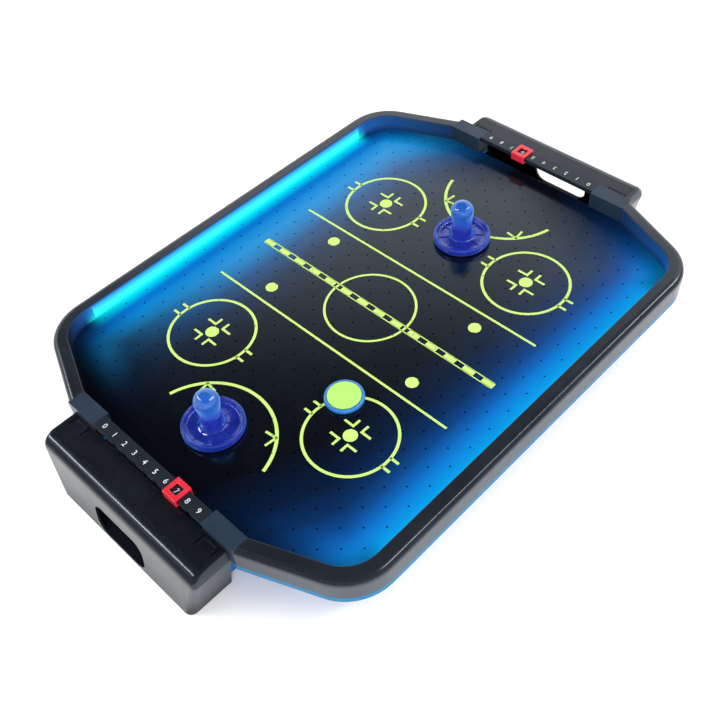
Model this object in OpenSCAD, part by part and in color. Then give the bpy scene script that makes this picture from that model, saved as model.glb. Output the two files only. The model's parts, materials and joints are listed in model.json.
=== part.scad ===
// Tabletop air hockey table with lit side rails, two goals with score rails,
// a battery fan under the perforated rink, two strikers and a puck.
// The rink lies in the XY plane, its long side runs along Y, and Z is up.
// The origin is on the ground under the middle of the rink.

/* [Table] */
// Height of the playing surface above the ground
play_z = 60; // [58:0.5:66]
// Half of the clear width between the side rails
inner_half_w = 210; // [200:1:230]
// Where the slanted end rails would meet on the centre line
end_line_y = 321.5; // [316:0.5:326]
// Angle of the end rails' outward normal above the X axis
slant_normal = 67.5; // [66:0.5:69]
// Radius of the rink's inner corners
corner_r = 38; // [34:1:44]
// Thickness of the moulded walls
wall = 2.5; // [2:0.1:3]

/* [Rails] */
// Width of the rail's flat top and rounded shoulder
rail_w = 16.5; // [15:0.5:20]
// Height of the rail above the playing surface
rail_h = 19; // [17:0.5:22]
// Radius of the rail's outer shoulder
shoulder_r = 7.5; // [5:0.5:9]
// How far the rail's skirt hangs below the playing surface
skirt_drop = 5; // [4:0.5:6]

/* [Playing surface] */
// Thickness of the rink board
board_t = 3; // [2:0.5:4]
// Radius of an air hole
hole_r = 1; // [0.7:0.1:1.4]
// Distance between air holes across the table
hole_pitch_x = 29.2; // [24:0.2:36]
// Distance between air holes along the table
hole_pitch_y = 27.6; // [24:0.2:36]
// Sideways shift of the air hole grid
hole_shift_x = 1.5; // [0:0.5:4]

/* [Goals] */
// Half of the goal mouth's width
mouth_half_w = 79; // [75:1:84]
// Inner face of the goal blocks
block_in_y = 272; // [271:0.5:272.5]
// Where the goal boxes meet the table
box_in_y = 290; // [290:0.5:291]
// Furthest reach of a goal box, at its foot
box_out_y = 337.5; // [335:0.5:342]
// Outer edge of a goal box's flat top
box_top_y = 318; // [315:0.5:319]
// Half length of a goal box's flat top
box_top_half_l = 111; // [109:0.5:113]
// Half length of a goal box at its foot
box_foot_half_l = 100; // [98:0.5:103]
// Radius of the shoulder along a goal box's outer top edge
box_shoulder = 13; // [10:0.5:14]
// Top of a goal box above the ground
box_top_z = 70.5; // [68:0.5:71]
// Half width of the hand hole
hand_half_w = 36; // [30:1:44]
// Top of the hand hole above the ground
hand_top_z = 42; // [36:1:46]

/* [Score keeping] */
// Thickness of the score rail
score_t = 5; // [4:0.5:6]
// Distance between two score marks
score_pitch = 15.3; // [14:0.1:15.5]
// Score that the near slider shows
near_score = 7; // [0:1:9]
// Score that the far slider shows
far_score = 6; // [0:1:9]
// Length of a score slider along the rail
slider_l = 18; // [14:1:20]

/* [Lights] */
// Length of a light bar
led_l = 400; // [300:10:410]
// Height of a light bar
led_h = 14; // [10:1:15]
// Number of light chips on each board
led_count = 14; // [6:1:20]

/* [Fan] */
// Inner radius of the fan shroud
fan_r = 42; // [38:1:46]
// Radius of the fan motor
motor_r = 12; // [10:0.5:13]
// Number of fan blades
blade_count = 7; // [5:1:9]

/* [Strikers and puck] */
// Radius of a striker's base
striker_r = 31; // [28:0.5:34]
// Height of a striker
striker_h = 51; // [46:1:56]
// Radius of a striker's knob
knob_r = 12.5; // [11:0.5:14]
// Where the near striker stands across the table
near_striker_x = -4; // [-20:1:20]
// Where the near striker stands along the table
near_striker_y = -209; // [-212:1:-205]
// Where the far striker stands across the table
far_striker_x = 5; // [-20:1:20]
// Where the far striker stands along the table
far_striker_y = 141; // [138:1:150]
// Radius of the puck
puck_r = 20; // [18:0.5:23]
// Thickness of the puck
puck_h = 6; // [5:0.5:8]
// Where the puck lies across the table
puck_x = 65.5; // [60:0.5:70]
// Where the puck lies along the table
puck_y = -104; // [-110:1:-95]

/* [Hidden] */
$fn = 64;

eps = 0.01;                      // overcut that keeps two faces from coinciding
gap = 0.05;                      // running clearance
tuck = 0.02;                     // how far a straight end edge sits inside its corner arc
rail_top_z = play_z + rail_h;
skirt_z = play_z - skirt_drop;
slope = 1 / tan(slant_normal);
corner_c = [
    inner_half_w - corner_r,
    end_line_y - corner_r / sin(slant_normal) - slope * (inner_half_w - corner_r)
];
block_x = 120;                   // seam between a rail and a goal block
board_grow = 5;                  // how far the board reaches under the rails
board_end_y = block_in_y + 2.5;

flange_t = 4;
flange_z = skirt_z - flange_t;
flange_grow = rail_w - 0.3;
lip_h = 7;                       // height of the tray's rim, down from the rails' skirt
tub_grow = -14;
tub_end_y = 277;
floor_z = 4;
floor_t = 3;
ledge_in_y = 262;                // how far the tray's ledge leaves the ends open
neck_half_w = 94;                // neck of the tray that carries a goal box
neck_y = 250;
neck_screw = [40, 284];
lid_t = 2.5;

boss_r = 3.2;
bore_r = 1.35;
screw_r = 1.3;
head_r = 2.8;
head_h = 2.4;
hole_clear_r = 1.7;
boss_s = 9.8;                    // distance of the screw line outside the rail's inner face
side_boss_y = [-150, 0, 150];
slant_boss_l = 36;               // distance of the end rail's screw from its corner
block_boss = [99, 283.5];

score_in_y = block_in_y + 3.5;
score_z = rail_top_z - score_t;

led_z = play_z + 2.5;
pcb_t = 1.6;
led_board_s = 4.2;
chip_t = 1.2;

bat_at = [-120, 0];
bat_in = [60, 58, 17];
cell_r = 7.2;
cell_l = 48.5;
door_half_w = bat_in.x / 2 + 2.9;
switch_at = [-120, 28];          // Y and Z of the power switch on the right wall
pillar_at = [[105, 75], [105, -150], [0, 150], [0, -150], [-105, 95], [-105, -95]];
pillar_r = 5;
pcb_at = [120, -70];
neck_r = knob_r - 2;
neck_h = 21.5;                   // height of a striker's neck above the underside of its base
peg_r = 6.5;
peg_h = 26;
wire_r = 0.9;
wire_z = floor_z + floor_t + wire_r;

// ---------- shared shapes ----------

// The rink's outline, grown outwards and cut off square at its ends.
module rink_outline(grow, end_y) {
    r = corner_r + grow;
    tucked = grow - tuck;
    end_x = (end_line_y + tucked / sin(slant_normal) - end_y) / slope;
    quarter = [
        [corner_c.x + r, corner_c.y],
        corner_c + (corner_r + tucked) * [cos(slant_normal), sin(slant_normal)],
        [end_x, end_y]
    ];
    back = [for (i = [2:-1:0]) quarter[i]];
    polygon(concat(
        quarter,
        [for (p = back) [-p.x, p.y]],
        [for (p = quarter) -p],
        [for (p = back) [p.x, -p.y]]
    ));
    for (sx = [-1, 1], sy = [-1, 1])
        translate([sx * corner_c.x, sy * corner_c.y]) circle(r);
}

module slab(grow, end_y, z, h) {
    translate([0, 0, z]) linear_extrude(h) rink_outline(grow, end_y);
}

module ring_wall(outer, outer_y, inner, inner_y, z, h) {
    translate([0, 0, z]) linear_extrude(h) difference() {
        rink_outline(outer, outer_y);
        rink_outline(inner, inner_y);
    }
}

// A box given by its lowest and highest corners.
module span(low, high) {
    translate(low) cube(high - low);
}

// A plate in the XY plane whose two corners at high Y are rounded.
module front_plate(half_l, y0, y1, r, z, h) {
    translate([0, 0, z]) linear_extrude(h) {
        translate([-half_l, y0]) square([2 * half_l, y1 - y0 - r]);
        translate([r - half_l, y0]) square([2 * (half_l - r), y1 - y0]);
        for (s = [-1, 1]) translate([s * (half_l - r), y1 - r]) circle(r, $fn = 32);
    }
}

// A self-tapping screw with its head down and its head's seat at z = 0.
module screw(length) {
    translate([0, 0, -head_h]) difference() {
        cylinder(r = head_r, h = head_h);
        for (a = [0, 90]) rotate(a) translate([-1.8, -0.4, -eps]) cube([3.6, 0.8, 1.2]);
    }
    cylinder(r = screw_r, h = length);
}

// A wire through a list of points, swept as one tube with mitred bends.
function unit(v) = v / norm(v);
function first_ring(a, b, r, n) =
    let (d = unit(b - a), u = unit(cross(d, abs(d.z) > 0.9 ? [1, 0, 0] : [0, 0, 1])), v = cross(d, u))
    [for (k = [0:n - 1]) a + r * (cos(360 * k / n) * u + sin(360 * k / n) * v)];
function next_ring(ring, a, b, c) =
    let (d = unit(b - a), m = unit(d + unit(c - b)))
    [for (q = ring) q + d * ((b - q) * m) / (d * m)];
function all_rings(p, ring, i = 1) =
    i >= len(p) ? ring : let (c = i < len(p) - 1 ? p[i + 1] : 2 * p[i] - p[i - 1])
    concat(ring, all_rings(p, next_ring(ring, p[i - 1], p[i], c), i + 1));

module wire(points, r = wire_r) {
    n = 8;
    last = (len(points) - 1) * n;
    polyhedron(
        points = all_rings(points, first_ring(points[0], points[1], r, n)),
        faces = concat(
            [[for (k = [n - 1:-1:0]) k], [for (k = [0:n - 1]) last + k]],
            [for (j = [0:n:last - n], k = [0:n - 1]) [j + k, j + (k + 1) % n, j + n + (k + 1) % n, j + n + k]]
        )
    );
}

// Every place where a screw holds a rail or a goal block to the tray.
function slant_point(l, s) = corner_c
    + (corner_r + s) * [cos(slant_normal), sin(slant_normal)]
    + l * [-sin(slant_normal), cos(slant_normal)];
rail_bosses = concat(
    [for (y = side_boss_y) [inner_half_w + boss_s, y]],
    [for (s = [-1, 1]) let (p = slant_point(slant_boss_l, boss_s)) [p.x, s * p.y]]
);
block_bosses = [for (sx = [-1, 1], sy = [-1, 1]) [sx * block_boss.x, sy * block_boss.y]];

module at_rim_screws() {
    for (p = rail_bosses, s = [-1, 1]) translate([s * p.x, p.y, 0]) children();
    for (p = block_bosses) translate([p.x, p.y, 0]) children();
}

// ---------- tray and playing surface ----------

module base_tray() {
    top = flange_z + flange_t;
    color("dodgerblue") difference() {
        union() {
            // flange under the rails, with the ledge that carries the board's edge
            ring_wall(flange_grow, box_in_y - 0.5, tub_grow - wall, ledge_in_y, flange_z, flange_t);
            ring_wall(flange_grow, box_in_y - 0.5, flange_grow - 2, box_in_y + 1, top - lip_h, lip_h - eps);
            ring_wall(4, board_end_y - 0.5, 1.5, board_end_y - 3, top - eps, 2 + eps);
            // tub
            ring_wall(tub_grow, tub_end_y, tub_grow - wall, tub_end_y - 3, floor_z, flange_z - floor_z + eps);
            slab(tub_grow, tub_end_y, floor_z, floor_t);
            for (s = [-1, 1]) mirror([0, s < 0 ? 1 : 0, 0]) goal_neck();
            // pillars under the board
            for (p = pillar_at) translate([p.x, p.y, floor_z])
                cylinder(r = pillar_r, h = play_z - board_t - floor_z);
            battery_rails();
            for (s = [-1, 1]) translate([pcb_at.x, pcb_at.y + s * 18, floor_z])
                cylinder(r = 3, h = floor_t + 3);
        }
        for (s = [-1, 1]) mirror([0, s < 0 ? 1 : 0, 0])
            span([-mouth_half_w, tub_end_y, flange_z - eps], [mouth_half_w, box_in_y + 1, top + eps]);
        at_rim_screws() translate([0, 0, flange_z - eps]) cylinder(r = hole_clear_r, h = flange_t + 2 * eps);
        for (p = pillar_at) translate([p.x, p.y, floor_z - eps]) cylinder(r = pillar_r - wall, h = 40);
        for (sx = [-1, 1], sy = [-1, 1]) translate([sx * neck_screw.x, sy * neck_screw.y, floor_z - eps])
            cylinder(r = hole_clear_r, h = floor_t + 2 * eps);
        for (a = [60:120:300]) rotate(a) translate([fan_r + 8, 0, floor_z - eps])
            cylinder(r = bore_r, h = floor_t + 2 * eps);
        // fan intake, battery opening and switch opening
        translate([0, 0, floor_z - eps]) cylinder(r = fan_r - 2, h = floor_t + 2 * eps);
        span([bat_at.x - bat_in.x / 2, bat_at.y - bat_in.y / 2, floor_z - eps],
             [bat_at.x + bat_in.x / 2, bat_at.y + bat_in.y / 2, floor_z + floor_t + eps]);
        span([inner_half_w - 20, switch_at[0] - 10.5, switch_at[1] - 7.5],
             [inner_half_w - 10, switch_at[0] + 10.5, switch_at[1] + 7.5]);
        // notches where the light wires pass the ledge
        for (s = [-1, 1]) translate([s * (inner_half_w + 3), -100, top]) span([-4, -2, 0], [4, 2, 3]);
    }
}

// The part of the tray that carries a goal box.
module goal_neck() {
    side_t = 3;
    span([-neck_half_w, neck_y, floor_z], [neck_half_w, box_in_y, floor_z + floor_t]);
    for (s = [0, 1]) mirror([s, 0, 0])
        span([neck_half_w - side_t, neck_y + 15, floor_z], [neck_half_w, box_in_y, flange_z + eps]);
}

// Guides under the tray in which the battery door slides.
module battery_rails() {
    for (s = [-1, 1]) translate([bat_at.x, bat_at.y, 0]) mirror([s < 0 ? 1 : 0, 0, 0]) {
        span([door_half_w + 0.2, -30, 1], [door_half_w + 2.6, 30, floor_z + eps]);
        span([door_half_w - 1.4, -30, 1], [door_half_w + 2.6, 30, 1.9]);
    }
}

module rubber_feet() {
    color("dimgray") for (x = [-165, 165], y = [-175, 0, 175]) translate([x, y, 0])
        rotate_extrude() polygon([[0, 0], [8, 0], [9, 1], [9, floor_z], [0, floor_z]]);
}

function in_rink(x, y, margin) =
    abs(x) < inner_half_w - margin
    && abs(y) < block_in_y - margin
    && abs(y) < end_line_y - margin / sin(slant_normal) - slope * abs(x)
    && (abs(x) < corner_c.x || abs(y) < corner_c.y
        || norm([abs(x), abs(y)] - corner_c) < corner_r - margin);

module playing_surface() {
    rows = 10;
    color("midnightblue") translate([0, 0, play_z - board_t]) linear_extrude(board_t) difference() {
        rink_outline(board_grow, board_end_y);
        for (i = [-rows:rows], j = [-rows:rows], half = [0, 0.5]) {
            x = hole_shift_x + (i + half) * hole_pitch_x;
            y = (j + half) * hole_pitch_y;
            if (in_rink(x, y, 7)) translate([x, y]) circle(hole_r, $fn = 16);
        }
    }
}

// ---------- rails ----------

// Section of the hollow rail: X is the distance outside the inner face and Y is the height.
module rail_profile() {
    h = rail_top_z - skirt_z;
    edge_r = 1;
    difference() {
        rail_shape(rail_w, h, shoulder_r, 0);
        difference() {
            rail_shape(rail_w, h, shoulder_r, wall);
            translate([-wall, h - wall]) square([rail_w, wall * 2]);
        }
        translate([wall, -eps]) square([rail_w - 2 * wall, h / 2]);
        translate([-eps, -eps]) square([wall + 2 * eps, skirt_drop + eps]);
        translate([0, h - edge_r]) difference() {
            translate([-eps, 0]) square([edge_r + eps, edge_r + eps]);
            translate([edge_r, 0]) circle(edge_r, $fn = 24);
        }
    }
}

module rail_shape(w, h, r, inset) {
    translate([inset, -eps * (inset > 0 ? 1 : 0)]) square([w - r - inset, h - inset]);
    translate([inset, 0]) square([w - 2 * inset, h - r]);
    translate([w - r, h - r]) circle(r - inset);
}

// The right-hand rail from one goal block to the other.
module rim_right() {
    run = 90;
    color("#33353c") difference() {
        union() {
            translate([inner_half_w, corner_c.y, skirt_z]) rotate([90, 0, 0])
                linear_extrude(2 * corner_c.y) rail_profile();
            for (s = [0, 1]) mirror([0, s, 0]) translate([corner_c.x, corner_c.y, skirt_z]) {
                rotate_extrude(angle = slant_normal) translate([corner_r, 0]) rail_profile();
                rotate(slant_normal) translate([corner_r, run, 0]) rotate([90, 0, 0])
                    linear_extrude(run) rail_profile();
            }
            for (p = rail_bosses) translate([p.x, p.y, skirt_z])
                cylinder(r = boss_r, h = rail_h + skirt_drop - 1);
        }
        for (s = [-1, 1]) span([0, s * 300 - 60, skirt_z - 1], [block_x, s * 300 + 60, rail_top_z + 1]);
        for (p = rail_bosses) translate([p.x, p.y, skirt_z - eps]) cylinder(r = bore_r, h = 14);
        span([inner_half_w - 1, -led_l / 2, led_z], [inner_half_w + wall + eps, led_l / 2, led_z + led_h]);
    }
}

module rim_left() {
    mirror([1, 0, 0]) rim_right();
}

module rim_screws() {
    color("silver") at_rim_screws() translate([0, 0, flange_z]) screw(15);
}

// ---------- goals ----------

// Goal blocks and the score rail that bridges the goal mouth, for the far end.
module score_rail() {
    color("#3b4654") difference() {
        union() {
            for (s = [0, 1]) mirror([s, 0, 0]) {
                span([mouth_half_w, block_in_y, play_z], [block_x, box_in_y, rail_top_z]);
                span([mouth_half_w, board_end_y + 0.5, skirt_z], [block_x, box_in_y, play_z + eps]);
            }
            span([-mouth_half_w - 1, score_in_y, score_z], [mouth_half_w + 1, box_in_y, rail_top_z]);
        }
        for (s = [0, 1]) mirror([s, 0, 0]) difference() {
            span([mouth_half_w + wall, board_end_y + 0.5 + wall, skirt_z - eps],
                 [block_x - wall, box_in_y - wall, rail_top_z - wall]);
            translate([block_boss.x, block_boss.y, skirt_z - 1]) difference() {
                cylinder(r = boss_r, h = rail_h + 5);
                translate([0, 0, -eps]) cylinder(r = bore_r, h = 15);
            }
        }
        // detents along the outer edge, one between each two marks
        for (i = [0:8]) translate([(i - 4) * score_pitch, box_in_y + 1.8, score_z - eps])
            cylinder(r = 3, h = score_t + 2 * eps, $fn = 32);
    }
}

module score_slider(x) {
    y0 = score_in_y;
    y1 = box_in_y;
    cheek = 2.2;
    play = 0.2;
    top = 2.6;
    color("crimson") translate([x, 0, 0]) difference() {
        span([-slider_l / 2, y0 - play - cheek, score_z - play - 1.6],
             [slider_l / 2, y1 + play + cheek, rail_top_z + top]);
        span([-slider_l, y0 - play, score_z - play], [slider_l, y1 + play, rail_top_z + gap]);
        span([-slider_l / 2 + 4, y0 + 2.6, rail_top_z - 1],
             [slider_l / 2 - 4, y1 - 2.6, rail_top_z + top + 1]);
        span([-slider_l, y0 + 2, score_z - 5], [slider_l, y1 - 2, score_z + 1]);
    }
}

// Outer or inner shape of a goal box: a tapering tub with a rounded outer shoulder.
module goal_shape(inset, y0, floor, ledge) {
    bulge = 2.2;                     // how far the ends swell below the flat top
    foot_r = 8;
    r = box_shoulder - inset;
    hull() {
        front_plate(box_foot_half_l - inset, y0, box_out_y - inset, foot_r - inset, floor, eps);
        for (a = [0:22.5:90]) front_plate(
            box_top_half_l - inset + bulge * cos(a) - ledge * sin(a),
            y0, box_top_y + r * cos(a) - ledge * sin(a), foot_r - 2 - inset,
            box_top_z - box_shoulder + r * sin(a) - eps, eps
        );
    }
}

lid_half_l = box_top_half_l - 3;
lid_out_y = box_top_y - 1;

module goal_box() {
    hand_r = 13;
    hand_low_z = 4.5;
    neck_top_z = floor_z + floor_t;
    tongue_half_w = 60;
    tongue_z = neck_top_z + wall;
    liner_half_w = neck_half_w - 4;
    tongue_y = tub_end_y + 0.3;
    color("#1d2027") {
        difference() {
            goal_shape(0, box_in_y, 1.5, 0);
            goal_shape(wall, box_in_y + wall, floor_z, 4);
            span([-neck_half_w - 0.3, box_in_y - eps, floor_z],
                 [neck_half_w + 0.3, box_in_y + wall + eps, box_top_z - lid_t]);
            span([-lid_half_l - 0.1, box_in_y - 1, box_top_z - lid_t],
                 [lid_half_l + 0.1, lid_out_y + 0.1, box_top_z + 1]);
            translate([0, box_out_y + 5, 0]) rotate([90, 0, 0]) linear_extrude(20) {
                translate([-hand_half_w + hand_r, hand_low_z])
                    square([2 * (hand_half_w - hand_r), hand_top_z - hand_low_z]);
                translate([-hand_half_w, hand_low_z + hand_r])
                    square([2 * hand_half_w, hand_top_z - hand_low_z - 2 * hand_r]);
                for (s = [-1, 1], z = [hand_low_z + hand_r, hand_top_z - hand_r])
                    translate([s * (hand_half_w - hand_r), z]) circle(hand_r);
            }
        }
        // tongue that is screwed onto the tray's neck, with a wall that lines the tray's end
        difference() {
            union() {
                span([-tongue_half_w, tongue_y, neck_top_z], [tongue_half_w, box_in_y + wall, tongue_z]);
                span([-tongue_half_w, box_in_y, floor_z - 0.5], [tongue_half_w, box_in_y + wall, tongue_z]);
                span([-liner_half_w, tongue_y, neck_top_z + 0.2], [liner_half_w, tongue_y + 2, flange_z - 1]);
                for (s = [-1, 1]) translate([s * neck_screw.x, neck_screw.y, neck_top_z])
                    cylinder(r = boss_r, h = 7);
            }
            for (s = [-1, 1]) translate([s * neck_screw.x, neck_screw.y, neck_top_z - 1])
                cylinder(r = bore_r, h = 9);
        }
    }
}

// Cover of a goal box, with two snap tongues that reach towards the score rail.
module goal_lid() {
    latch_x = 95;
    latch_half_w = 10;
    latch_l = 13;
    slot = 1.4;
    color("#15171c") difference() {
        span([-lid_half_l, box_in_y + 0.3, box_top_z - lid_t], [lid_half_l, lid_out_y, box_top_z]);
        for (s = [-1, 1]) translate([s * latch_x, box_in_y + 1.3, box_top_z]) {
            for (e = [-1, 1]) translate([e * latch_half_w, 0, 0])
                span([-slot / 2, 0, -lid_t - 1], [slot / 2, latch_l, 1]);
            span([-latch_half_w + 3, 3, -0.6], [latch_half_w - 3, latch_l - 2, 1]);
        }
    }
}

module goal_box_screws() {
    color("silver") for (sx = [-1, 1], sy = [-1, 1])
        translate([sx * neck_screw.x, sy * neck_screw.y, floor_z]) screw(9);
}

module at_near_end() {
    rotate([0, 0, 180]) children();
}

// ---------- lights ----------

module led_diffuser_right() {
    color("cyan") span([inner_half_w, -led_l / 2, led_z], [inner_half_w + wall, led_l / 2, led_z + led_h]);
}

module led_board_right() {
    x = inner_half_w + led_board_s;
    color("green") span([x, -led_l / 2, led_z], [x + pcb_t, led_l / 2, led_z + led_h - 0.5]);
}

module led_chips_right() {
    x = inner_half_w + led_board_s;
    pitch = led_l / led_count;
    color("white") for (i = [0:led_count - 1])
        translate([x - chip_t, (i + 0.5) * pitch - led_l / 2 - 2.5, led_z + led_h / 2 - 2.5])
            cube([chip_t, 5, 5]);
}

module led_wires() {
    y = -100;
    up = skirt_z + 1;
    x = inner_half_w + 7.5;
    color("red") {
        wire([[pcb_at.x + 12, -90, wire_z], [pcb_at.x + 20, y, wire_z], [185, y, wire_z], [185, y, up],
              [x, y, up], [x, y, led_z + 3]]);
        wire([[pcb_at.x + 8, -90, wire_z], [pcb_at.x, -112, wire_z], [-175, -112, wire_z],
              [-185, y, wire_z], [-185, y, up], [-x, y, up], [-x, y, led_z + 3]]);
    }
}

// ---------- fan ----------

module intake_grille() {
    r = fan_r - 2;
    t = 2;
    color("#22242a") translate([0, 0, floor_z]) difference() {
        union() {
            for (k = [8, 16, 24, 32, r]) difference() {
                cylinder(r = k, h = t);
                translate([0, 0, -eps]) cylinder(r = k - 2, h = t + 2 * eps);
            }
            for (a = [0:45:315]) rotate(a) translate([5, -1, 0]) cube([r - 6, 2, t]);
        }
    }
}

module fan_shroud() {
    z = floor_z + floor_t;
    color("#2a2d34") translate([0, 0, z]) difference() {
        union() {
            cylinder(r = fan_r + wall, h = 26);
            cylinder(r = fan_r + 12, h = 2);
        }
        translate([0, 0, -eps]) cylinder(r = fan_r, h = 27);
        for (a = [60:120:300]) rotate(a) translate([fan_r + 8, 0, -eps]) cylinder(r = hole_clear_r, h = 3);
    }
}

module fan_screws() {
    z = floor_z + floor_t + 2;
    color("silver") for (a = [60:120:300]) rotate(a) translate([fan_r + 8, 0, z])
        mirror([0, 0, 1]) screw(4.5);
}

motor_z = 29;
bracket_z = floor_z + floor_t + 26;

module motor_bracket() {
    color("lightsteelblue") translate([0, 0, bracket_z]) difference() {
        union() {
            cylinder(r = motor_r + 4, h = 3);
            for (a = [0:120:240]) rotate(a) translate([motor_r, -4, 0])
                cube([fan_r + wall - motor_r - 0.5, 8, 3]);
        }
        translate([0, 0, -eps]) cylinder(r = motor_r + gap, h = 4);
    }
}

module fan_motor() {
    color("silver") difference() {
        union() {
            translate([0, 0, motor_z]) cylinder(r = motor_r, h = 22);
            translate([0, 0, motor_z - 1]) cylinder(r = 4, h = 1 + eps);
            translate([0, 0, motor_z + 22 - eps]) cylinder(r = 4, h = 2);
            for (s = [-1, 1]) span([s * 8 - 0.3, -1.5, motor_z + 22 - eps], [s * 8 + 0.3, 1.5, motor_z + 25]);
        }
        translate([0, 0, motor_z - 2]) cylinder(r = 1.1, h = 18);
    }
}

hub_z = 12;
hub_h = 13;

module motor_shaft() {
    color("gainsboro") translate([0, 0, hub_z + 1]) cylinder(r = 1.1 - gap, h = motor_z + 14 - hub_z);
}

module fan_impeller() {
    chord = 14;
    pitch_angle = 35;
    color("white") difference() {
        union() {
            translate([0, 0, hub_z]) cylinder(r = 9, h = hub_h);
            for (i = [0:blade_count - 1]) rotate(i * 360 / blade_count)
                translate([7.5, 0, hub_z + hub_h / 2]) rotate([pitch_angle, 0, 0])
                    translate([0, -chord / 2, -0.6]) cube([fan_r - 11.5, chord, 1.2]);
        }
        translate([0, 0, hub_z + 1]) cylinder(r = 1.1 - gap, h = hub_h);
    }
}

module fan_wires() {
    z = motor_z + 24;
    color("red") for (s = [-1, 1])
        wire([[s * 9.5, 0, z], [s * 9.5, -9, z], [s * 4, -52, z], [s * 4, -61 + s * 3, wire_z],
              [pcb_at.x - 14, -73 + s * 3, wire_z]]);
}

// ---------- power ----------

module battery_box() {
    z = floor_z + floor_t;
    half = [bat_in.x / 2, bat_in.y / 2];
    color("#1b1c20") translate([bat_at.x, bat_at.y, z]) difference() {
        span([-half.x - 2, -half.y - 2, 0], [half.x + 2, half.y + 2, bat_in.z + 2]);
        span([-half.x, -half.y, -eps], [half.x, half.y, bat_in.z]);
    }
}

module each_cell() {
    for (i = [0:3]) translate([bat_at.x + (i - 1.5) * 14.8, bat_at.y, floor_z + floor_t + 8])
        rotate([0, 0, i % 2 == 0 ? 0 : 180]) children();
}

module battery_cells() {
    color("goldenrod") each_cell() {
        translate([0, cell_l / 2, 0]) rotate([90, 0, 0]) cylinder(r = cell_r, h = cell_l);
        translate([0, cell_l / 2 + 1.2, 0]) rotate([90, 0, 0]) cylinder(r = 2.7, h = 1.2 + eps);
    }
}

module battery_contacts() {
    reach = bat_in.y / 2;
    color("silver") each_cell() {
        span([-5, reach - 0.5, -5], [5, reach, 5]);
        translate([0, reach, 0]) rotate([90, 0, 0]) cylinder(r = 2, h = reach - cell_l / 2 - 1.2);
        span([-5, -reach, -5], [5, -reach + 0.5, 5]);
        for (k = [0:2]) translate([0, -reach + 1.2 * k + 0.5 + 1.2, 0]) rotate([90, 0, 0])
            difference() {
                cylinder(r = 4.6 - k, h = 1.2 + eps);
                translate([0, 0, -eps]) cylinder(r = 2.4 - k * 0.4, h = 1.3);
            }
    }
}

module battery_door() {
    color("#2b7fe0") translate([bat_at.x, bat_at.y, 0]) {
        span([-door_half_w, -bat_in.y / 2 - 2, 2.1], [door_half_w, bat_in.y / 2 + 2, 3.8]);
        for (i = [-2:2]) span([-12, i * 3 - 24, 1.5], [12, i * 3 - 22.6, 2.1 + eps]);
    }
}

module battery_wires() {
    x = bat_at.x + bat_in.x / 2 + 2;
    color("red") for (s = [-1, 1])
        wire([[x + wire_r, -12 + s * 3, wire_z], [-70 + s * 3, -12 + s * 3, wire_z],
              [-58 + s * 3, -84 + s * 3, wire_z], [pcb_at.x - 14, -84 + s * 3, wire_z]]);
}

module switch_wires() {
    back_x = inner_half_w + tub_grow - 18;
    color("red") for (s = [-1, 1])
        wire([[back_x, switch_at[0] + s * 4, switch_at[1]], [back_x - 14, switch_at[0] + s * 4, switch_at[1]],
              [150, switch_at[0] + 40 + s * 3, wire_z], [pcb_at.x + 10, -78 + s * 3, wire_z]]);
}

module control_board() {
    z = floor_z + floor_t + 3;
    color("seagreen") translate([pcb_at.x, pcb_at.y, z]) span([-15, -24, 0], [15, 24, 1.6]);
    color("black") translate([pcb_at.x, pcb_at.y, z + 1.6 - eps]) {
        span([-6, -10, 0], [4, 4, 2.5]);
        for (y = [-16, 12]) translate([8, y, 0]) cylinder(r = 3, h = 8);
    }
}

rocker_x = inner_half_w - 19;
rocker_r = 6;

module power_switch_body() {
    y = switch_at[0];
    z = switch_at[1];
    outer = inner_half_w + tub_grow;
    color("#17181b") difference() {
        union() {
            span([outer - 18, y - 10.4, z - 7.4], [outer + eps, y + 10.4, z + 7.4]);
            span([outer, y - 12, z - 9], [outer + 1.6, y + 12, z + 9]);
        }
        translate([rocker_x, y + 8, z]) rotate([90, 0, 0]) cylinder(r = rocker_r + 0.1, h = 16);
        span([rocker_x, y - 8, z - 6.1], [outer + 5, y + 8, z + 6.1]);
    }
}

// Rocks about the Y axis through its round belly, and rests switched on.
module power_switch_rocker() {
    tilt = 10;
    color("#8c1616") translate([rocker_x, switch_at[0] + 7.8, switch_at[1]])
    rotate([90, 0, 0]) linear_extrude(15.6) {
        circle(rocker_r);
        rotate(tilt) polygon([[0, -5], [9, -4.6], [7.6, 0], [9, 4.6], [0, 5]]);
    }
}

// ---------- strikers and puck ----------

felt_t = 1;

module at_striker(at) {
    translate([at.x, at.y, play_z + gap]) children();
}

module striker_felt(at) {
    color("ivory") at_striker(at) difference() {
        cylinder(r = striker_r - 3, h = felt_t);
        translate([0, 0, -eps]) cylinder(r = striker_r - 9, h = felt_t + 2 * eps);
    }
}

// A dished base with a raised lip, radial ribs, and a flared neck ending in a peg.
module striker_base(at) {
    lip_h = 8;
    floor_h = 2;
    color("royalblue", 0.7) at_striker(at) translate([0, 0, felt_t]) {
        rotate_extrude() {
            square([striker_r - 1, floor_h]);
            translate([striker_r - 3.4, 0]) square([2.2, lip_h]);
            translate([striker_r - 2.4, 1]) square([2.4, lip_h - 2]);
            translate([striker_r - 1, 1]) circle(1, $fn = 24);
            translate([striker_r - 2.2, lip_h - 1.2]) circle(1.2, $fn = 24);
            polygon([[0, 0], [knob_r - 0.5, 0], [knob_r - 0.5, floor_h], [neck_r, neck_h], [0, neck_h]]);
            square([peg_r, peg_h]);
        }
        for (a = [0:45:315]) rotate(a) translate([10, -0.6, floor_h - eps]) cube([striker_r - 13, 1.2, 3]);
    }
}

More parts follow.
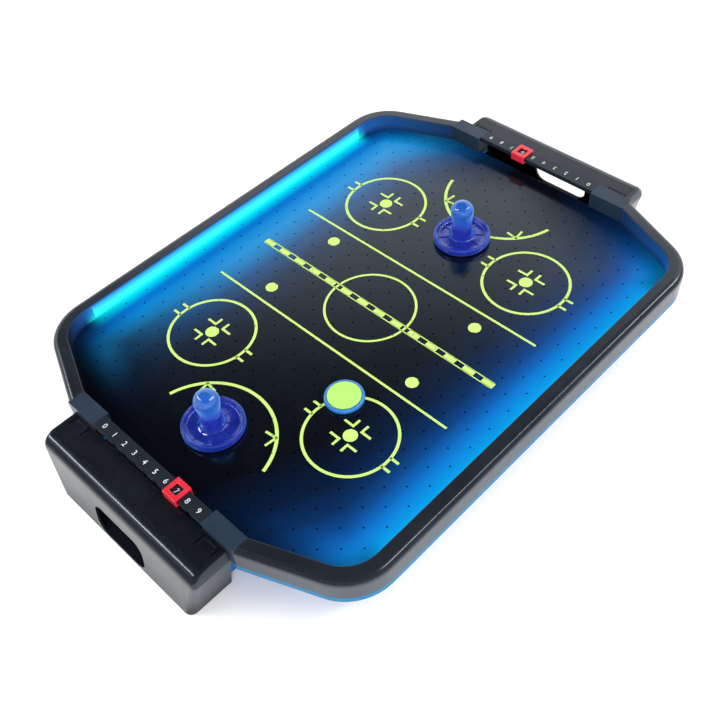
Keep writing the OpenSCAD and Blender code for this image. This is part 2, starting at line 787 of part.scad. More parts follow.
// A hollow grip with a domed top that sits on the neck, over its peg.
module striker_knob(at) {
    z0 = felt_t + neck_h + gap;
    z1 = felt_t + peg_h + gap;
    dome_z = striker_h - gap - knob_r;
    shell = 2.5;
    color("cornflowerblue", 0.7) at_striker(at) rotate_extrude() difference() {
        intersection() {
            union() {
                polygon([[0, z0], [neck_r, z0], [knob_r, dome_z], [0, dome_z]]);
                translate([0, dome_z]) circle(knob_r);
            }
            square([knob_r, striker_h + 1]);
            translate([0, z0]) square([knob_r, striker_h]);
        }
        translate([-1, z0 - 1]) square([1 + peg_r + gap, z1 - z0 + 1]);
        translate([-1, z1 + 1.5]) square([knob_r - 2.5, dome_z - z1 - 1.5]);
        translate([0, dome_z]) intersection() {
            circle(knob_r - shell);
            translate([-1, -eps]) square(knob_r);
        }
    }
}

module puck_body() {
    edge = 1;
    color("deepskyblue") translate([puck_x, puck_y, play_z + gap]) rotate_extrude() difference() {
        union() {
            square([puck_r - edge, puck_h]);
            translate([0, edge]) square([puck_r, puck_h - 2 * edge]);
            for (z = [edge, puck_h - edge]) translate([puck_r - edge, z]) circle(edge, $fn = 24);
        }
        translate([-eps, puck_h - 1.2]) square([puck_r - 3, 2]);
    }
}

module puck_disc() {
    color("greenyellow") translate([puck_x, puck_y, play_z + gap + puck_h - 1.2])
        cylinder(r = puck_r - 3 - gap, h = 1.4);
}

near_slider_x = (near_score - 4.5) * score_pitch;
far_slider_x = (4.5 - far_score) * score_pitch;

base_tray();
rubber_feet();
playing_surface();
rim_left();
rim_right();
rim_screws();
at_near_end() score_rail();  // score_rail_near
score_rail();  // score_rail_far
at_near_end() score_slider(-near_slider_x);  // score_slider_near
score_slider(far_slider_x);  // score_slider_far
at_near_end() goal_box();  // goal_box_near
goal_box();  // goal_box_far
at_near_end() goal_lid();  // goal_lid_near
goal_lid();  // goal_lid_far
goal_box_screws();
mirror([1, 0, 0]) led_diffuser_right();  // led_diffuser_left
led_diffuser_right();
mirror([1, 0, 0]) led_board_right();  // led_board_left
led_board_right();
mirror([1, 0, 0]) led_chips_right();  // led_chips_left
led_chips_right();
led_wires();
intake_grille();
fan_shroud();
fan_screws();
motor_bracket();
fan_motor();
motor_shaft();
fan_impeller();
fan_wires();
battery_box();
battery_cells();
battery_contacts();
battery_door();
battery_wires();
switch_wires();
control_board();
power_switch_body();
power_switch_rocker();
striker_base([near_striker_x, near_striker_y]);  // striker_base_near
striker_knob([near_striker_x, near_striker_y]);  // striker_knob_near
striker_felt([near_striker_x, near_striker_y]);  // striker_felt_near
striker_base([far_striker_x, far_striker_y]);  // striker_base_far
striker_knob([far_striker_x, far_striker_y]);  // striker_knob_far
striker_felt([far_striker_x, far_striker_y]);  // striker_felt_far
puck_body();
puck_disc();
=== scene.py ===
"""Looks of a tabletop air hockey table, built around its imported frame.

Everything is in metres in the frame's own axes: X across the table, Y along it, Z up.
"""

import json
import math

import bmesh
import bpy
from mathutils import Matrix, Quaternion, Vector

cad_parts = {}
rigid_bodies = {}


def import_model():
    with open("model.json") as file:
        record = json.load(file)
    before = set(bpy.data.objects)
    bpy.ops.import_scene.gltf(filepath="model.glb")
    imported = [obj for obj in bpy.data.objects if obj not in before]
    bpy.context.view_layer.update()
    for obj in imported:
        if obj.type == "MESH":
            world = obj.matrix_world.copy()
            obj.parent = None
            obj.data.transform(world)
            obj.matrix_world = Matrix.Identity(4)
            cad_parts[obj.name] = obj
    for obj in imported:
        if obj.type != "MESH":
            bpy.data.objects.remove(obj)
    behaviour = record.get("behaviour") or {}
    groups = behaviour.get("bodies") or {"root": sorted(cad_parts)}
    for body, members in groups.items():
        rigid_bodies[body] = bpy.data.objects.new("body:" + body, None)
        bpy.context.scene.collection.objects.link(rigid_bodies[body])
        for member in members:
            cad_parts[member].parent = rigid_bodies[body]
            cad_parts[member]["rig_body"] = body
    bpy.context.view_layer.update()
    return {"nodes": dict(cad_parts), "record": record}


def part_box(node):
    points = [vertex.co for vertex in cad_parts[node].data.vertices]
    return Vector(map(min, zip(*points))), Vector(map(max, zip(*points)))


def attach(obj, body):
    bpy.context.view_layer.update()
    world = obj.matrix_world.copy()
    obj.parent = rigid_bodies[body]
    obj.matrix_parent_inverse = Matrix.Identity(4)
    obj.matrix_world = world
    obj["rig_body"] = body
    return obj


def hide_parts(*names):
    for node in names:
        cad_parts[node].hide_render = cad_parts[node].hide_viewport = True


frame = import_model()

MM = 0.001
NODES = frame["nodes"]
SLOT_OF = {part["node"]: part["material_slot"] for part in frame["record"]["subparts"]}
SURFACE_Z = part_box("playing_surface")[1].z     # top of the board
RAIL_IN_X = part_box("led_diffuser_right")[0].x  # inner face of the side rails
RAIL_TOP_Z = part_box("rim_right")[1].z
BAR_END_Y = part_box("led_diffuser_right")[1].y

# The inner outline of the rails: straight sides, then slanted ends with a rounded corner between.
SLANT = math.radians(67.5)  # direction of a slanted end's normal, from the X axis
END_LINE_Y = 321.5 * MM     # where the slanted ends would meet on the table's middle line
CORNER_R = 38 * MM
CORNER_X = RAIL_IN_X - CORNER_R
CORNER_Y = END_LINE_Y - CORNER_R / math.sin(SLANT) - CORNER_X / math.tan(SLANT)

MOUTH_HALF_W = 79 * MM      # half the goal mouth, between two slate blocks

# The staggered grid of air holes.
HOLE_PITCH_X = 29.2 * MM
HOLE_PITCH_Y = 27.6 * MM
HOLE_SHIFT_X = 1.5 * MM

COOL_TINT = (0.78, 0.89, 1.0)  # what a dark moulding's highlights are tinted with


# ---------------------------------------------------------------- node graphs


class Val:
    """A shader socket; arithmetic on it adds Math nodes to its tree."""

    def __init__(self, graph, socket):
        self.graph = graph
        self.socket = socket

    def math(self, operation, *others):
        """One of Blender's Math operations on this value and the others."""
        node = self.graph.tree.nodes.new("ShaderNodeMath")
        node.operation = operation
        for slot, value in zip(node.inputs, (self, *others)):
            self.graph.put(slot, value)
        return Val(self.graph, node.outputs[0])

    def __add__(self, other):
        return self.math("ADD", other)

    def __sub__(self, other):
        return self.math("SUBTRACT", other)

    def __mul__(self, other):
        return self.math("MULTIPLY", other)

    def __truediv__(self, other):
        return self.math("DIVIDE", other)

    def over(self, edge):
        """1 where the value is over the edge, and 0 elsewhere."""
        return self.math("GREATER_THAN", edge)

    def under(self, edge):
        """1 where the value is under the edge, and 0 elsewhere."""
        return self.math("LESS_THAN", edge)

    def abs(self):
        return self.math("ABSOLUTE")

    def smooth(self, low, high):
        """0 at low and 1 at high, with a soft shoulder at both."""
        node = self.graph.tree.nodes.new("ShaderNodeMapRange")
        node.interpolation_type = "SMOOTHSTEP"
        self.graph.put(node.inputs["Value"], self)
        node.inputs["From Min"].default_value = low
        node.inputs["From Max"].default_value = high
        return Val(self.graph, node.outputs["Result"])


class Graph:
    """One material's node tree, with short names for the nodes it uses."""

    def __init__(self, name):
        self.material = bpy.data.materials.new(name)
        self.material.use_nodes = True
        self.tree = self.material.node_tree
        self.shader = self.tree.nodes["Principled BSDF"]
        self.coords = self.tree.nodes.new("ShaderNodeTexCoord").outputs["Object"]

    def put(self, socket, value):
        """Links a Val to a socket, or writes a plain value on it."""
        if isinstance(value, Val):
            self.tree.links.new(value.socket, socket)
        else:
            socket.default_value = value

    def set(self, **values):
        """Sets the shader's own sockets; Base_Color means the socket Base Color."""
        for name, value in values.items():
            self.put(self.shader.inputs[name.replace("_", " ")], value)

    def linked(self, name):
        """What already feeds one of the shader's sockets."""
        return Val(self, self.shader.inputs[name].links[0].from_socket)

    def xyz(self):
        """Place in the table's own axes, in metres."""
        node = self.tree.nodes.new("ShaderNodeSeparateXYZ")
        self.tree.links.new(self.coords, node.inputs[0])
        return [Val(self, out) for out in node.outputs]

    def normal_z(self):
        """1 where the surface faces up, 0 on an upright side, and -1 where it faces down."""
        geometry = self.tree.nodes.new("ShaderNodeNewGeometry")
        node = self.tree.nodes.new("ShaderNodeSeparateXYZ")
        self.tree.links.new(geometry.outputs["Normal"], node.inputs[0])
        return Val(self, node.outputs["Z"])

    def noise(self, scale, detail=3.0, stretch=(1, 1, 1)):
        """Noise from 0 to 1, mostly near the middle; a higher scale or stretch makes it finer."""
        mapping = self.tree.nodes.new("ShaderNodeMapping")
        mapping.inputs["Scale"].default_value = stretch
        self.tree.links.new(self.coords, mapping.inputs["Vector"])
        node = self.tree.nodes.new("ShaderNodeTexNoise")
        node.inputs["Scale"].default_value = scale
        node.inputs["Detail"].default_value = detail
        self.tree.links.new(mapping.outputs[0], node.inputs["Vector"])
        return Val(self, node.outputs["Fac"])

    def ramp(self, value, stops):
        """Colour by a value from 0 to 1, from stops given as (value, colour)."""
        node = self.tree.nodes.new("ShaderNodeValToRGB")
        elements = node.color_ramp.elements
        while len(elements) < len(stops):
            elements.new(0.5)
        for element, (place, color) in zip(elements, stops):
            element.position = place
            element.color = (*color, 1)
        self.put(node.inputs["Fac"], value)
        return Val(self, node.outputs["Color"])

    def blend(self, share, low, high):
        """The colour low where share is 0 and the colour high where it is 1."""
        node = self.tree.nodes.new("ShaderNodeMix")
        node.data_type = "RGBA"
        self.put(node.inputs["Factor"], share)
        self.put(node.inputs["A"], low if isinstance(low, Val) else (*low, 1))
        self.put(node.inputs["B"], high if isinstance(high, Val) else (*high, 1))
        return Val(self, node.outputs["Result"])

    def scaled(self, color, share):
        """The colour times a number."""
        node = self.tree.nodes.new("ShaderNodeVectorMath")
        node.operation = "SCALE"
        self.put(node.inputs[0], color)
        self.put(node.inputs["Scale"], share)
        return Val(self, node.outputs["Vector"])

    def bump(self, height, depth, strength=0.5):
        node = self.tree.nodes.new("ShaderNodeBump")
        node.inputs["Strength"].default_value = strength
        node.inputs["Distance"].default_value = depth
        self.put(node.inputs["Height"], height)
        self.tree.links.new(node.outputs["Normal"], self.shader.inputs["Normal"])


def wall_distance(graph):
    """Distance in metres from the rails' inner face, positive over the rink."""
    x, y, _ = graph.xyz()
    dx, dy = x.abs() - CORNER_X, y.abs() - CORNER_Y  # from the corner's own centre
    slant = dx * math.cos(SLANT) + dy * math.sin(SLANT)
    flat = dx.math("MAXIMUM", slant)
    round_off = (dx * dx + dy * dy).math("SQRT")
    along = dx * math.sin(SLANT) - dy * math.cos(SLANT)
    in_corner = dy.over(0.0) * along.over(0.0)
    outside = flat + (round_off - flat) * in_corner
    return outside * -1.0 + CORNER_R


# ------------------------------------------------------------------ materials


def plastic(
    name, color, rough, grain=900.0, depth=0.04 * MM, shade=0.75, coat=0.0, shine=0.5, tint=(1, 1, 1)
):
    """Moulded plastic: a faint cloud in its colour, and a fine moulded grain.

    The cloud's darker parts are shade times the colour. The grain is finer for a higher number.
    """
    g = Graph(name)
    cloud = g.noise(22.0, 4.0)
    g.set(Base_Color=g.blend(cloud.smooth(0.3, 0.7), [c * shade for c in color], color))
    g.set(Roughness=g.noise(60.0, 5.0) * 0.16 + (rough - 0.08))
    g.set(Specular_IOR_Level=shine, Specular_Tint=(*tint, 1), Coat_Weight=coat, Coat_Roughness=0.12)
    g.bump(g.noise(grain, 2.0), depth, 0.35)
    return g


def glossy_black(name, color, rough, shine):
    """Polished dark moulding, with a painted dark band in its reflection on the shoulder, between its
    highlight and its side.
    """
    g = plastic(name, color, rough, depth=0.02 * MM, tint=COOL_TINT)
    up = g.normal_z()
    _, y, _ = g.xyz()
    short_of_far_end = y.smooth(300 * MM, 200 * MM)
    # Painted shade: the reflection is dimmed where the surface tilts between its top and its side,
    # short of the far end.
    painted_dark_band = up.smooth(0.30, 0.50) * up.smooth(0.88, 0.78) * short_of_far_end
    cloud = g.noise(7.0, 2.0, (1, 1, 3)).smooth(0.25, 0.75) * 0.3 + 0.85
    g.set(Specular_IOR_Level=(painted_dark_band * -0.8 + 1.0) * cloud * shine)
    return g


def metal(name, color, rough):
    """Drawn or ground metal, with fine streaks along Z."""
    g = Graph(name)
    g.set(Base_Color=g.blend(g.noise(80.0), [c * 0.8 for c in color], color), Metallic=1.0)
    g.set(Roughness=g.noise(300.0, 4.0, (1, 1, 12)) * 0.2 + (rough - 0.1))
    g.bump(g.noise(700.0, 2.0, (1, 1, 14)), 0.03 * MM, 0.3)
    return g.material


def hole_dots(graph, radius):
    """1 on the staggered grid of air holes, and 0 between them."""
    x, y, _ = graph.xyz()
    dots = []
    for half in (0.0, 0.5):
        dx = (x - (HOLE_SHIFT_X + half * HOLE_PITCH_X)).math("PINGPONG", HOLE_PITCH_X / 2)
        dy = (y - half * HOLE_PITCH_Y).math("PINGPONG", HOLE_PITCH_Y / 2)
        dots.append((dx * dx + dy * dy).under(radius**2))
    return dots[0].math("MAXIMUM", dots[1])


def ramp_in_mm(graph, distance, stops):
    """Colour by a distance in metres, from stops given as (millimetres, colour)."""
    reach = stops[-1][0]
    return graph.ramp(distance / (reach * MM), [(place / reach, color) for place, color in stops])


def beside_bars(y):
    """1 along the light bars, and 0 past their ends."""
    return y.abs().smooth(214 * MM, 196 * MM)


def board_material():
    """Glossy black board with the blue light of the side rails painted on it as emission.

    The painted light falls off with the distance from the side rail, and a little with the distance
    from the slanted end. It is weaker past the bars' ends and towards the near end, and the board
    mirrors the room only where the light leaves it dark.
    """
    g = Graph("rink_board")
    x, y, _ = g.xyz()
    wall = wall_distance(g)
    reach = (x.abs() * -1.0 + RAIL_IN_X) * 0.65 + wall * 0.35
    # Painted colours by that distance: the bar's painted mirror image at the wall, then its painted
    # light on the board.
    spill = [
        (19, (0.000, 0.18, 0.62)), (27, (0.000, 0.25, 0.69)), (44, (0.006, 0.29, 0.70)),
        (58, (0.005, 0.21, 0.53)), (78, (0.002, 0.07, 0.22)), (103, (0.0, 0.014, 0.05)),
        (140, (0.0, 0.0, 0.001)),
    ]
    left = ramp_in_mm(g, reach, [
        (0, (0.000, 0.92, 0.96)), (4, (0.000, 0.68, 0.93)), (8, (0.000, 0.46, 0.85)),
        (14, (0.000, 0.21, 0.66)), *spill,
    ])
    left_corner = ramp_in_mm(g, reach, [(0, (0.0, 0.10, 0.45)), (12, (0.0, 0.17, 0.60)), *spill])
    right = ramp_in_mm(g, reach, [
        (0, (0.000, 0.58, 0.92)), (5, (0.000, 0.42, 0.88)), (12, (0.002, 0.32, 0.80)),
        (25, (0.003, 0.21, 0.68)), (36, (0.003, 0.12, 0.45)), (47, (0.002, 0.060, 0.25)),
        (62, (0.001, 0.026, 0.11)), (85, (0.0, 0.008, 0.035)), (125, (0.0, 0.0, 0.0)),
    ])
    on_right = x.smooth(-40 * MM, 40 * MM)
    painted_glow = g.blend(on_right, g.blend(beside_bars(y), left_corner, left), right)
    # Painted shadow: the painted light is dimmed at the foot of the slanted ends, past the bars.
    past_bars = y.abs().smooth(190 * MM, 216 * MM)
    wall_foot_shadow = past_bars * (wall.smooth(0.0, 34 * MM) - 1.0) * 0.72 + 1.0
    by_left_bar = y.smooth(-262 * MM, -150 * MM)
    off_left_bar = y.smooth(-262 * MM, -20 * MM)
    near_left = by_left_bar + (off_left_bar - by_left_bar) * wall.smooth(20 * MM, 58 * MM)
    near_right = y.smooth(-345 * MM, -225 * MM)
    near_end = near_left + (near_right - near_left) * on_right
    haze = g.noise(9.0, 3.0) * 0.16 + 0.92
    up = g.normal_z()
    face = up.over(0.9) * 0.6 + up.over(-0.5) * 0.4  # full on top, less on edges, none below
    holes = hole_dots(g, 1.1 * MM) * -0.4 + 1.0
    # Painted light strength: weaker towards the near end, uneven at random, full on top, less on
    # edges, none below, and dimmer at the air holes.
    strength = near_end * wall_foot_shadow * haze * (face * holes)
    g.set(Base_Color=g.blend(g.noise(300.0, 2.0), (0.001, 0.0015, 0.003), (0.002, 0.0025, 0.005)))
    g.set(Emission_Color=g.scaled(painted_glow, strength), Emission_Strength=1.0)
    g.set(Roughness=g.noise(40.0, 4.0) * 0.1 + 0.10, Specular_Tint=(0.62, 0.80, 1.0, 1))
    g.set(Specular_IOR_Level=wall.smooth(12 * MM, 100 * MM) * 0.60)
    g.bump(g.noise(1200.0, 2.0), 0.01 * MM, 0.2)
    return g.material


def rail_material():
    """Satin black rail whose inner face has the blue wash of the light bars painted on as emission."""
    g = glossy_black("rim_satin", (0.009, 0.011, 0.016), 0.20, 0.55)
    _, y, z = g.xyz()
    inner = wall_distance(g).over(-0.6 * MM) * g.normal_z().abs().under(0.7)
    # Painted light: brighter beside the bars, dimmer past their ends, fading up the wall.
    lit = ramp_in_mm(g, z - SURFACE_Z, [
        (0, (0.003, 0.93, 0.96)), (3, (0.002, 0.80, 0.93)), (8, (0.004, 0.40, 0.80)),
        (17, (0.006, 0.20, 0.60)), (19, (0.003, 0.10, 0.35)), (22, (0.0, 0.02, 0.1)),
    ])
    dim = ramp_in_mm(g, z - SURFACE_Z, [
        (0, (0.001, 0.03, 0.16)), (8, (0.003, 0.09, 0.38)), (19, (0.004, 0.08, 0.32)),
        (22, (0.0, 0.02, 0.1)),
    ])
    wash = y.smooth(-245 * MM, -195 * MM) * y.smooth(300 * MM, 200 * MM)
    blue = g.scaled(g.blend(beside_bars(y), dim, lit), inner * wash)
    g.set(Emission_Color=blue, Emission_Strength=1.0)
    return g.material


def box_material():
    """Goal box: glossy black whose reflection is dimmed towards its foot and on its ends, as painted
    shade.
    """
    g = glossy_black("box_gloss_black", (0.006, 0.008, 0.013), 0.17, 0.5)
    x, y, z = g.xyz()
    # Painted shade: the end faces and the lower faces reflect less.
    side = x.abs().over(94 * MM) * g.normal_z().abs().under(0.3)
    painted_foot_shade = z.smooth(6 * MM, 50 * MM) * 0.66 + 0.28 - side * 0.18
    g.set(Specular_IOR_Level=g.linked("Specular IOR Level") * painted_foot_shade)
    return g.material


def light_bar_material():
    """Frosted bar lit from behind by a row of chips, brightest along its foot."""
    g = Graph("light_bar_lit")
    _, y, z = g.xyz()
    color = ramp_in_mm(g, z - SURFACE_Z, [
        (0, (0.002, 0.94, 0.96)), (9, (0.002, 0.91, 0.96)), (11, (0.002, 0.74, 0.95)),
        (14, (0.002, 0.42, 0.85)), (18, (0.002, 0.22, 0.66)),
    ])
    ends = y.abs().smooth(BAR_END_Y - 12 * MM, BAR_END_Y - 2 * MM) * 0.12 + 1.0
    ripple = g.noise(60.0, 2.0) * 0.1 + 0.95
    g.set(Base_Color=g.blend(g.noise(500.0), (0.02, 0.06, 0.07), (0.03, 0.07, 0.08)), Roughness=0.5)
    g.set(Emission_Color=g.scaled(color, ripple * ends), Emission_Strength=1.0)
    return g.material


def clear_blue(name, color, painted_edge_light, depth):
    """Clear blue plastic with a painted glow: deep colour seen face on, painted paler light at its
    edges, and emission in that colour.
    """
    g = Graph(name)
    # Painted light: the colour pales where the surface turns away from the view.
    rim = g.tree.nodes.new("ShaderNodeLayerWeight")
    rim.inputs["Blend"].default_value = 0.35
    edge = Val(g, rim.outputs["Facing"]).smooth(0.25, 1.0)
    cloud = g.noise(160.0, 4.0).smooth(0.35, 0.75)
    tint = g.blend(cloud, [c * 0.75 for c in color], color)
    g.set(Base_Color=g.blend(edge, tint, painted_edge_light))
    g.set(Roughness=g.noise(90.0, 3.0) * 0.10 + 0.05, Specular_Tint=(0.6, 0.75, 1.0, 1))
    g.set(Transmission_Weight=0.35, IOR=1.46, Coat_Weight=0.5, Coat_Roughness=0.04)
    # Painted glow: the plastic emits its own colour, though it is no lamp.
    g.set(Emission_Color=g.linked("Base Color"), Emission_Strength=0.4)
    g.bump(g.noise(210.0, 3.0), depth, 0.5)
    return g


def grip_material():
    """Frosted clear grip: painted paler light at its outline, and a deeper blue, in its painted glow
    too, fading into the neck at its foot.
    """
    g = clear_blue("striker_grip_blue", (0.014, 0.080, 0.34), (0.22, 0.56, 0.92), 0.5 * MM)
    _, _, z = g.xyz()
    foot = (z - SURFACE_Z).smooth(36 * MM, 23 * MM) * 0.85
    tinted = g.blend(foot, g.linked("Base Color"), (0.020, 0.045, 0.36))
    g.set(Base_Color=tinted, Emission_Color=tinted)
    return g.material


def slate_material():
    """Slate goal blocks, with the bridging rail between them in a darker moulding."""
    block, bridge = (0.0108, 0.020, 0.0352), (0.005, 0.008, 0.013)
    g = plastic("rail_satin_slate", block, 0.34, shade=0.85, shine=0.38, tint=COOL_TINT)
    x, _, _ = g.xyz()
    over_mouth = x.abs().under(MOUTH_HALF_W)
    g.set(Base_Color=g.blend(over_mouth, g.linked("Base Color"), bridge))
    return g.material


def print_material():
    """Yellow-green print with a faint painted glow, and the air holes painted through it as dark dots
    of painted shade.
    """
    g = Graph("rink_print_lime")
    lime = g.blend(g.noise(120.0, 3.0), (0.30, 0.44, 0.09), (0.37, 0.52, 0.12))
    # Painted shade: dark dots where the air holes lie under the ink.
    inked = g.blend(hole_dots(g, 1.0 * MM) * 0.6, lime, (0.01, 0.015, 0.01))
    g.set(Base_Color=inked, Roughness=0.5)
    # Painted glow: the ink faintly emits its own colour.
    g.set(Emission_Color=inked, Emission_Strength=0.2)
    g.bump(g.noise(900.0, 2.0), 0.02 * MM, 0.3)
    return g.material


def felt_material():
    """White felt, with a fuzzy surface."""
    g = Graph("felt_fibre")
    g.set(Base_Color=g.blend(g.noise(900.0, 6.0), (0.62, 0.62, 0.60), (0.86, 0.86, 0.84)))
    g.set(Roughness=0.95, Sheen_Weight=0.5)
    g.bump(g.noise(1500.0, 5.0), 0.3 * MM, 0.8)
    return g.material


def cell_material():
    """Battery sleeve: black, with a copper band at each cell's end."""
    g = Graph("cell_sleeve")
    _, y, _ = g.xyz()
    half_cell = 25 * MM
    band = (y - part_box("battery_cells")[0].y).math("PINGPONG", half_cell).under(7 * MM)
    g.set(Base_Color=g.blend(band, (0.02, 0.02, 0.022), (0.55, 0.30, 0.09)))
    g.set(Roughness=g.noise(200.0) * 0.2 + 0.2, Metallic=0.7)
    return g.material


def tray_material():
    """Glossy blue tray: a band of light is painted as emission on its rim under the rails, and its tub
    is deeper.
    """
    tub, rim = (0.003, 0.065, 0.24), (0.001, 0.065, 0.135)
    g = plastic("tray_glossy_blue", tub, 0.30, shine=0.15, tint=(0.2, 0.55, 1.0))
    _, _, z = g.xyz()
    on_rim = z.smooth(44 * MM, 47 * MM) * g.normal_z().abs().under(0.5)
    g.set(Base_Color=g.blend(on_rim, tub, rim))
    # Painted light: a thin band of emission along the rim, just under the rails.
    lit_from = 48 * MM
    lit = ramp_in_mm(g, z - lit_from, [
        (0, (0.0, 0.0, 0.01)), (2.0, (0.0, 0.06, 0.12)), (4.5, (0.0, 0.08, 0.16)),
        (7, (0.0, 0.0, 0.0)),
    ])
    g.set(Emission_Color=g.scaled(lit, on_rim), Emission_Strength=1.0)
    return g.material


MATERIALS = {
    "tray_blue": tray_material(),
    "foot_rubber": plastic("foot_rubber_matte", (0.03, 0.03, 0.032), 0.85, 500.0, 0.2 * MM).material,
    "board_black": board_material(),
    "rim_black": rail_material(),
    "screw_steel": metal("screw_plated", (0.62, 0.62, 0.64), 0.32),
    "rail_slate": slate_material(),
    "slider_red": plastic("slider_gloss_red", (0.55, 0.012, 0.03), 0.25, coat=0.3).material,
    "box_black": box_material(),
    "lid_black": glossy_black("lid_satin_black", (0.003, 0.004, 0.007), 0.28, 0.42).material,
    "circuit_green": plastic("solder_mask", (0.01, 0.14, 0.05), 0.35, 300.0).material,
    "chip_white": plastic("chip_package", (0.75, 0.78, 0.7), 0.4).material,
    "wire_red": plastic("wire_sleeve", (0.5, 0.02, 0.02), 0.4).material,
    "inner_black": plastic("inner_moulding", (0.03, 0.032, 0.038), 0.45).material,
    "bracket_steel": metal("bracket_stamped", (0.5, 0.5, 0.52), 0.4),
    "motor_steel": metal("motor_can", (0.64, 0.64, 0.66), 0.3),
    "shaft_steel": metal("shaft_ground", (0.72, 0.72, 0.74), 0.2),
    "impeller_white": plastic("impeller_moulding", (0.74, 0.74, 0.74), 0.45).material,
    "cell_copper": cell_material(),
    "contact_steel": metal("contact_spring", (0.7, 0.7, 0.68), 0.3),
    "door_blue": plastic("door_gloss_blue", (0.02, 0.20, 0.66), 0.32, coat=0.2).material,
    "rocker_red": plastic("rocker_gloss", (0.40, 0.01, 0.015), 0.28, coat=0.3).material,
    "felt_white": felt_material(),
    "puck_blue": plastic("puck_gloss_blue", (0.02, 0.15, 0.45), 0.28, coat=0.4).material,
    "puck_green": plastic("puck_disc_green", (0.29, 0.56, 0.10), 0.4, shade=0.92).material,
    "light_bar": light_bar_material(),
    "striker_blue": clear_blue(
        "striker_clear_blue", (0.010, 0.022, 0.24), (0.04, 0.17, 0.68), 0.25 * MM
    ).material,
}
PRINT = print_material()
DIGIT = plastic("digit_print_white", (0.50, 0.53, 0.56), 0.5).material
GRIP = grip_material()


def dress_frame():
    """Every CAD node takes its slot's material."""
    for name, node in NODES.items():
        node.data.materials.clear()
        node.data.materials.append(MATERIALS[SLOT_OF[name]])


# --------------------------------------------------------------- mesh helpers


def add_object(name, bm, material, body):
    """Turns a bmesh into a piece that rides on a body of the frame."""
    mesh = bpy.data.meshes.new(name)
    bmesh.ops.recalc_face_normals(bm, faces=bm.faces)
    bm.to_mesh(mesh)
    bm.free()
    mesh.materials.append(material)
    piece = bpy.data.objects.new(name, mesh)
    bpy.context.scene.collection.objects.link(piece)
    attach(piece, body)
    return piece


def evaluated_mesh(piece):
    """A new mesh: what Blender makes of a text curve, or of a mesh with its modifiers."""
    depsgraph = bpy.context.evaluated_depsgraph_get()
    return bpy.data.meshes.new_from_object(piece.evaluated_get(depsgraph))


def shade_smooth(piece, crease_angle=None):
    """Shades the piece smoothly, apart from edges sharper than the angle in degrees."""
    for polygon in piece.data.polygons:
        polygon.use_smooth = True
    if crease_angle:
        piece.data.set_sharp_from_angle(angle=math.radians(crease_angle))


def softened(node, width):
    """A copy of a CAD node with its sharp edges rounded, which stands for the node."""
    bm = bmesh.new()
    bm.from_mesh(NODES[node].data)
    bmesh.ops.remove_doubles(bm, verts=bm.verts, dist=1e-6)
    bmesh.ops.dissolve_limit(bm, angle_limit=math.radians(1.0), verts=bm.verts, edges=bm.edges)
    slot = SLOT_OF[node]
    piece = add_object(node + "_moulded", bm, MATERIALS[slot], NODES[node]["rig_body"])
    shade_smooth(piece)
    bevel = piece.modifiers.new("edges", "BEVEL")
    bevel.width = width
    bevel.segments = 3
    bevel.limit_method = "ANGLE"
    bevel.angle_limit = math.radians(28)
    bevel.use_clamp_overlap = True
    piece.modifiers.new("normals", "WEIGHTED_NORMAL")
    mesh = evaluated_mesh(piece)
    piece.modifiers.clear()
    piece.data = mesh
    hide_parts(node)


# ----------------------------------------------------------- strikers and puck


def lathe(bm, centre, profile, steps=72):
    """Turns a closed line of (radius, height) points about a vertical axis."""
    rings = []
    for radius, height in profile:
        if radius < 1e-6:
            rings.append([bm.verts.new((centre.x, centre.y, centre.z + height))])
            continue
        rings.append([
            bm.verts.new((
                centre.x + radius * math.cos(2 * math.pi * k / steps),
                centre.y + radius * math.sin(2 * math.pi * k / steps),
                centre.z + height,
            ))
            for k in range(steps)
        ])
    for low, high in zip(rings, rings[1:]):
        for k in range(steps):
            j = (k + 1) % steps
            corners = [low[k % len(low)], low[j % len(low)], high[j % len(high)], high[k % len(high)]]
            bm.faces.new(list(dict.fromkeys(corners)))


def rounded(profile, radius, steps=4):
    """Rounds each inner corner of an open (radius, height) line given in millimetres."""
    line = [Vector(p) * MM for p in profile]
    out = [line[0]]
    for before, here, after in zip(line, line[1:], line[2:]):
        reach = min(radius * MM, (here - before).length * 0.45, (after - here).length * 0.45)
        a = here + (before - here).normalized() * reach
        b = here + (after - here).normalized() * reach
        for i in range(steps + 1):
            t = i / steps
            out.append(a.lerp(here, t).lerp(here.lerp(b, t), t))
    out.append(line[-1])
    return out


def add_ribs(bm, centre, root_r):
    """Eight thin radial ribs in the dish of a striker's base, from its neck to near its lip."""
    ribs, half_w = 8, 0.5 * MM
    outline = [
        (root_r * MM, 2.5 * MM), (25.8 * MM, 2.5 * MM), (25.8 * MM, 3.8 * MM),
        (18 * MM, 4.0 * MM), (root_r * MM, 5.4 * MM),
    ]
    for k in range(ribs):
        turn = Quaternion((0, 0, 1), 2 * math.pi * k / ribs)
        sides = [
            [bm.verts.new(centre + turn @ Vector((r, side, z))) for r, z in outline]
            for side in (-half_w, half_w)
        ]
        bm.faces.new(sides[0])
        bm.faces.new(sides[1])
        for i in range(len(outline)):
            j = (i + 1) % len(outline)
            bm.faces.new((sides[0][i], sides[0][j], sides[1][j], sides[1][i]))


